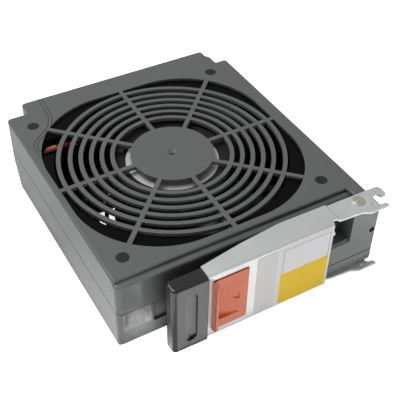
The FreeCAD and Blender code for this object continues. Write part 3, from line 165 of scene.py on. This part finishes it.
def ramp(tree, value, stops):
    """Colour ramp through (position, colour) stops."""
    node = tree.nodes.new("ShaderNodeValToRGB")
    elements = node.color_ramp.elements
    while len(elements) < len(stops):
        elements.new(0.5)
    for element, (position, color) in zip(elements, stops):
        element.position = position
        element.color = (*color, 1)
    tree.links.new(value, node.inputs["Fac"])
    return node.outputs["Color"]


def mottled(tree, value, color, uneven):
    """A colour that a noise makes darker and paler by the share uneven."""
    dark = tuple(c * (1 - uneven) for c in color)
    pale = tuple(min(1.0, c * (1 + uneven)) for c in color)
    return ramp(tree, value, [(0.3, dark), (0.7, pale)])


def blend_colors(tree, factor, first, second, how="MIX"):
    """Blends two colours; each input is a socket or a plain value."""
    node = tree.nodes.new("ShaderNodeMix")
    node.data_type = "RGBA"
    node.blend_type = how
    factor_in, first_in, second_in = node.inputs[0], node.inputs[6], node.inputs[7]
    for socket, value in ((factor_in, factor), (first_in, first), (second_in, second)):
        if isinstance(value, bpy.types.NodeSocket):
            tree.links.new(value, socket)
        elif socket == factor_in:
            socket.default_value = value
        else:
            socket.default_value = (*value, 1)
    return node.outputs[2]


def rounded_edges(tree, radius):
    """Normal that rounds sharp edges by radius metres."""
    node = tree.nodes.new("ShaderNodeBevel")
    node.samples = 4
    node.inputs["Radius"].default_value = radius
    return node.outputs["Normal"]


def bump(tree, shader, height, depth, normal=None):
    """Relief of depth metres from a height, over an optional normal."""
    node = tree.nodes.new("ShaderNodeBump")
    node.inputs["Strength"].default_value = 1.0
    node.inputs["Distance"].default_value = depth
    tree.links.new(height, node.inputs["Height"])
    if normal is not None:
        tree.links.new(normal, node.inputs["Normal"])
    tree.links.new(node.outputs["Normal"], shader.inputs["Normal"])


# ---- Kinds of material ----

def finish_material(name, color, roughness, metallic=0.0, specular=0.5):
    """New material with one Principled shader; returns it with its node tree and shader."""
    material = bpy.data.materials.new(name)
    material.use_nodes = True
    tree = material.node_tree
    shader = tree.nodes["Principled BSDF"]
    shader.inputs["Base Color"].default_value = (*color, 1)
    shader.inputs["Roughness"].default_value = roughness
    shader.inputs["Metallic"].default_value = metallic
    shader.inputs["Specular IOR Level"].default_value = specular
    return material, tree, shader


def moulded(name, color, roughness=0.5, grain=0.35, depth=0.012, edge=0.25, uneven=0.08, specular=0.5):
    """Moulded plastic: fine spark-eroded grain, faint cloudiness, edges rounded by the mould."""
    material, tree, shader = finish_material(name, color, roughness, 0.0, specular)
    cloud = noise(tree, 14 * MM, 4)
    tree.links.new(mottled(tree, cloud, color, uneven), shader.inputs["Base Color"])
    fine = noise(tree, grain * MM, 2)
    tree.links.new(spread(tree, fine, roughness - 0.06, roughness + 0.06), shader.inputs["Roughness"])
    bump(tree, shader, fine, depth * MM, rounded_edges(tree, edge * MM))
    return material


def metal(name, color, roughness, streak=(1, 1, 1), size=1.2, depth=0.003, uneven=0.06, bare=1.0):
    """Metal with drawn or rolled streaks along the axes that streak makes short; lacquer lowers bare."""
    material, tree, shader = finish_material(name, color, roughness, bare)
    lines = noise(tree, size * MM, 5, streak, 0.6)
    tree.links.new(mottled(tree, lines, color, uneven), shader.inputs["Base Color"])
    tree.links.new(spread(tree, lines, roughness - 0.07, roughness + 0.07), shader.inputs["Roughness"])
    bump(tree, shader, lines, depth * MM, rounded_edges(tree, 0.15 * MM))
    return material


# ---- Finishes of this module ----

def painted_shade_in_hollows(material, reach, darkest):
    """Painted shade: darkens a finish's colour in corners and slots narrower than reach millimetres, down to
    darkest of its colour.
    """
    tree = material.node_tree
    base = tree.nodes["Principled BSDF"].inputs["Base Color"]
    open_sky = tree.nodes.new("ShaderNodeAmbientOcclusion")
    open_sky.samples = 8
    open_sky.inputs["Distance"].default_value = reach * MM
    stops = [(0.3, (darkest, darkest, darkest)), (0.9, (1, 1, 1))]
    # painted shade: the colour is darkened where the occlusion finds close surfaces
    hollow_shade = ramp(tree, open_sky.outputs["AO"], stops)
    tree.links.new(blend_colors(tree, 1.0, base.links[0].from_socket, hollow_shade, "MULTIPLY"), base)


def sunken_middle(material, radius, depth):
    """Shallow round dimple on the fan's axis, laid over a finish's own relief."""
    tree = material.node_tree
    shader = tree.nodes["Principled BSDF"]
    rise = remap(tree, off_axis(tree), (0, radius * MM), (0, 1), smooth=True)
    bump(tree, shader, rise, depth * MM, shader.inputs["Normal"].links[0].from_socket)


def housing_plastic():
    """Grey plastic of the two housing shells, with painted shade in its slots and corners, and the gate mark
    in the guard's middle.
    """
    material = moulded("housing_plastic", (0.152, 0.164, 0.158), 0.16, grain=0.5, depth=0.001, edge=0.3,
                       uneven=0.03, specular=0.36)
    # painted shade in the housing's hollows, where shade falls
    painted_shade_in_hollows(material, 14, 0.3)
    sunken_middle(material, 4.6, 0.8)
    return material


def frame_plastic():
    """Near-black plastic of the fan's frame, a little paler on the motor base in its middle: a painted sheen.
    """
    black, pale = (0.003, 0.003, 0.003), (0.030, 0.030, 0.030)
    material = moulded("frame_plastic", black, 0.35, grain=0.5, depth=0.004, specular=0.07)
    tree = material.node_tree
    inside = combine(tree, "LESS_THAN", off_axis(tree), MOTOR_BASE_RADIUS * MM)
    base = tree.nodes["Principled BSDF"].inputs["Base Color"]
    # painted sheen: paler grey inside the motor base's radius
    tree.links.new(blend_colors(tree, inside, black, pale), base)
    return material


def galvanised():
    """Zinc-coated sheet: flakes of hardly different grey, a soft sheen and a few rubbed patches."""
    material, tree, shader = finish_material("galvanised_sheet", (0.73, 0.75, 0.74), 0.38, 0.42)
    flakes = tree.nodes.new("ShaderNodeTexVoronoi")
    flakes.inputs["Scale"].default_value = 1 / (1.6 * MM)
    tree.links.new(place(tree, (1, 1, 0.6)), flakes.inputs["Vector"])
    grey_flakes = [(0.0, (0.71, 0.74, 0.73)), (1.0, (0.75, 0.78, 0.77))]
    tones = ramp(tree, flakes.outputs["Color"], grey_flakes)
    rubbed = [(0.3, (0.93, 0.93, 0.93)), (0.7, (1.04, 1.04, 1.04))]
    drift = ramp(tree, noise(tree, 18 * MM, 4), rubbed)
    tree.links.new(blend_colors(tree, 1.0, tones, drift, "MULTIPLY"), shader.inputs["Base Color"])
    fine = noise(tree, 0.7 * MM, 4, (0.5, 1, 1))
    tree.links.new(spread(tree, fine, 0.33, 0.45), shader.inputs["Roughness"])
    bump(tree, shader, fine, 0.003 * MM, rounded_edges(tree, 0.2 * MM))
    return material


def clear_sheet():
    """Clear adhesive film, wrinkled a little where it was smoothed down: see-through with a strong gloss."""
    material, tree, shader = finish_material("clear_film", (0.44, 0.43, 0.44), 0.15)
    ripple = noise(tree, 5 * MM, 2, (1, 1, 0.6), 0.5)
    tree.links.new(spread(tree, ripple, 0.3, 0.65), shader.inputs["Alpha"])
    bump(tree, shader, ripple, 0.5 * MM)
    return material


def printed_label():
    """White label with a grey strip, a thin frame and a plain yellow panel; it carries no words or signs."""
    white, grey = (0.79, 0.78, 0.80), (0.71, 0.70, 0.70)
    line, yellow = (0.22, 0.22, 0.23), (0.84, 0.57, 0.03)
    panels = ((grey, (-3.0, 8.2), (0.0, 45.0)), (line, (11.4, 37.0), (24.4, 39.6)),
              (white, (11.7, 36.7), (24.4, 39.3)), (yellow, (10.8, 37.4), (4.2, 24.4)))
    material, tree, shader = finish_material("paper_label", white, 0.45, specular=0.25)
    fibre = [(0.3, tuple(c * 0.97 for c in white)), (0.7, white)]
    color = ramp(tree, noise(tree, 0.6 * MM, 4), fibre)
    for ink, across, upright in panels:
        color = blend_colors(tree, region(tree, X=across, Z=upright), color, ink)
    tree.links.new(color, shader.inputs["Base Color"])
    bump(tree, shader, noise(tree, 1.5 * MM, 3), 0.006 * MM)
    return material


def insulation(name, color, shade_start):
    """Coloured wire insulation, painted black from the start given in millimetres on towards the motor, as
    painted shade where the leads run into the dark.
    """
    material, tree, shader = finish_material(name, color, 0.4)
    # painted shade: the lead is painted black where it runs into the dark near the motor
    lead_shade = within(tree, "X", shade_start, PAINTED_SHADE_END)
    black = (0.015, 0.015, 0.015)
    tree.links.new(blend_colors(tree, lead_shade, color, black), shader.inputs["Base Color"])
    bump(tree, shader, noise(tree, 0.6 * MM, 2), 0.01 * MM)
    return material


def paint(node, material):
    """Gives a CAD node's mesh this finish alone."""
    mesh = NODES[node].data
    mesh.materials.clear()
    mesh.materials.append(material)


HOUSING = housing_plastic()
FRAME = frame_plastic()
FAN = moulded("fan_plastic", (0.006, 0.006, 0.006), 0.22, grain=0.5, depth=0.002, specular=0.3)
RUBBER = moulded("isolator_rubber", (0.028, 0.030, 0.027), 0.6, grain=0.3, depth=0.01, edge=0.3,
                 specular=0.2)
GRIP = moulded("grip_plastic", (0.008, 0.0075, 0.0078), 0.24, grain=0.5, depth=0.001, edge=0.3,
               uneven=0.04, specular=0.8)
LATCH = moulded("latch_plastic", (0.67, 0.160, 0.070), 0.30, depth=0.003, edge=0.3, uneven=0.03,
                specular=0.4)
CONNECTOR = moulded("connector_plastic", (0.018, 0.018, 0.019), 0.45, edge=0.15)
COMPONENT = moulded("component_black", (0.02, 0.02, 0.021), 0.35, edge=0.12)
BOARD = moulded("circuit_board", (0.02, 0.11, 0.045), 0.4, edge=0.08)
MAGNET = moulded("ferrite", (0.03, 0.03, 0.034), 0.6, edge=0.15)
# the red and yellow leads carry painted shade towards the motor
LEAD_RED = insulation("red_insulation", (0.75, 0.010, 0.045), -30)
LEAD_YELLOW = insulation("yellow_insulation", (0.50, 0.33, 0.02), -46.5)
LEAD_BLACK = moulded("black_insulation", (0.015, 0.015, 0.015), 0.4, edge=0.05)
SHEET = galvanised()
RIVET = metal("rivet_steel", (0.78, 0.77, 0.69), 0.36, size=0.8)
ROTOR = metal("rotor_steel", (0.42, 0.42, 0.43), 0.35, (1, 1, 6))
STEEL = metal("bearing_steel", (0.62, 0.62, 0.64), 0.22, (1, 1, 8))
STACK = metal("lamination_steel", (0.33, 0.34, 0.36), 0.4, (0.02, 0.02, 4), 0.5, depth=0.06, uneven=0.3)
COPPER = metal("copper_winding", (0.66, 0.25, 0.10), 0.3, (0.2, 0.2, 5), 0.5, depth=0.08, uneven=0.25)
FOIL = metal("motor_foil", (0.72, 0.73, 0.71), 0.5, size=6.0, depth=0.001, bare=0.5)
CONTACT = metal("contact_metal", (0.75, 0.58, 0.24), 0.28, (1, 4, 1), 0.6)
PAPER = printed_label()
FILM = clear_sheet()

FINISHES = {
    HOUSING: ["top_cover", "base_shell"],
    FRAME: ["fan_frame"],
    FAN: ["impeller"],
    RUBBER: ["top_isolators", "bottom_isolators"],
    GRIP: ["grip", "latch_retainer"],
    LATCH: ["latch_button", "latch_hook"],
    CONNECTOR: ["rear_connector"],
    COMPONENT: ["board_parts", "shaft_clip"],
    BOARD: ["circuit_board"],
    MAGNET: ["rotor_magnet"],
    LEAD_RED: ["red_lead"],
    LEAD_YELLOW: ["yellow_lead"],
    LEAD_BLACK: ["black_lead"],
    SHEET: ["lever"],
    RIVET: ["upper_rivet", "lower_rivet"],
    ROTOR: ["rotor_cup", "preload_spring"],
    STEEL: ["shaft", "lower_bearing", "upper_bearing", "latch_spring"],
    STACK: ["stator_core"],
    COPPER: ["windings"],
    FOIL: ["motor_label"],
    CONTACT: ["connector_contacts"],
    PAPER: ["front_label"],
    FILM: ["clear_film"],
}
for finish, painted in FINISHES.items():
    for node in painted:
        paint(node, finish)


# ---- Floor and light ----

def seen_directly(tree):
    """1 where the camera looks, straight or through clear film, 0 for mirrored rays and falling light."""
    path = tree.nodes.new("ShaderNodeLightPath")
    return combine(tree, "MAXIMUM", path.outputs["Is Camera Ray"], path.outputs["Is Transmission Ray"])


def mirrored(tree):
    """1 where a glossy surface looks, else 0."""
    return tree.nodes.new("ShaderNodeLightPath").outputs["Is Glossy Ray"]


def floor():
    """Large pale sheet just under the part.

    It is lifted to white where it is seen, except under the fan: there the part's own shadow shows
    between the blades, and one patch is lifted as a painted pool of light. In mirror images only, it
    glows ahead of the grip and more faintly beside the part: painted reflections in the walls.
    """
    half = FLOOR_HALF
    low = CAD_BOX[0][2] - 0.02 * MM
    corners = [(-half, -half, low), (half, -half, low), (half, half, low), (-half, half, low)]
    mesh = bpy.data.meshes.new("floor")
    mesh.from_pydata(corners, [], [(0, 1, 2, 3)])
    sheet = bpy.data.objects.new("floor", mesh)
    bpy.context.scene.collection.objects.link(sheet)
    material, tree, shader = finish_material("floor_paper", (0.93, 0.93, 0.93), 0.9)
    fibre = [(0.3, (0.925, 0.925, 0.925)), (0.7, (0.935, 0.935, 0.935))]
    tree.links.new(ramp(tree, noise(tree, 3 * MM, 3), fibre), shader.inputs["Base Color"])
    beneath = region(tree, X=(-52, 60), Y=(-60, 70))
    # painted pool of light: this patch under the fan is lifted to white where it is seen
    light_patch = region(tree, X=(-37.3, -20), Y=(7, 18))
    shaded = product(tree, beneath, remap(tree, light_patch, (0, 1), (1, 0)))
    # painted reflections: these floor areas glow only in mirror images, brightening the walls' reflections
    ahead = product(tree, region(tree, X=(-42, 400), Y=(-400, -86)), fading(tree, "X", 140, -20))
    beside = product(tree, within(tree, "X", -400, -62), fading(tree, "Y", 10, -60))
    surface = shader.outputs[0]
    for rays, value, strengths in ((seen_directly(tree), shaded, (0.9, 0.0)),
                                   (mirrored(tree), ahead, (0.0, 1.2)),
                                   (mirrored(tree), beside, (0.0, 0.6))):
        lift = tree.nodes.new("ShaderNodeEmission")
        strength = remap(tree, value, (0, 1), strengths)
        tree.links.new(product(tree, rays, strength), lift.inputs["Strength"])
        lit = tree.nodes.new("ShaderNodeAddShader")
        tree.links.new(surface, lit.inputs[0])
        tree.links.new(lift.outputs[0], lit.inputs[1])
        surface = lit.outputs[0]
    tree.links.new(surface, tree.nodes["Material Output"].inputs["Surface"])
    mesh.materials.append(material)


def world():
    """Even pale light all round, another strength where it is mirrored, plain white where it is seen."""
    sky = bpy.data.worlds.new("studio")
    bpy.context.scene.world = sky
    sky.use_nodes = True
    tree = sky.node_tree
    surface = None
    for rays, strength in ((None, 0.21), (mirrored(tree), 0.38), (seen_directly(tree), 1.0)):
        light = tree.nodes.new("ShaderNodeBackground")
        light.inputs["Color"].default_value = (1, 1, 1, 1)
        light.inputs["Strength"].default_value = strength
        if surface is None:
            surface = light.outputs[0]
            continue
        mix = tree.nodes.new("ShaderNodeMixShader")
        tree.links.new(rays, mix.inputs[0])
        tree.links.new(surface, mix.inputs[1])
        tree.links.new(light.outputs[0], mix.inputs[2])
        surface = mix.outputs[0]
    tree.links.new(surface, tree.nodes["World Output"].inputs["Surface"])


def lamp(name, place_mm, size_mm, power, mirrored_too=True, aim_mm=(0, 0, 20)):
    """Soft square lamp aimed at the part; one near the part is kept out of its mirror images."""
    data = bpy.data.lights.new(name, "AREA")
    data.size = size_mm * MM
    data.energy = power
    light = bpy.data.objects.new(name, data)
    light.location = Vector(place_mm) * MM
    light.rotation_euler = (Vector(aim_mm) * MM - light.location).to_track_quat("-Z", "Y").to_euler()
    light.visible_glossy = mirrored_too
    bpy.context.scene.collection.objects.link(light)


floor()
world()
lamp("key", (-250, 200, 650), 500, 3.1)
lamp("fill", (-650, -400, 300), 600, 0.2)
lamp("front", (-100, -380, 150), 220, 0.42, False)
lamp("foot of the wall", (-44, -81, 4), 20, 0.006, False, (-42, -66, 1))
lamp("foot of the block", (88, -112, 10), 24, 0.0048, False, (50, -80, 4))
bpy.context.scene.view_settings.view_transform = "Standard"
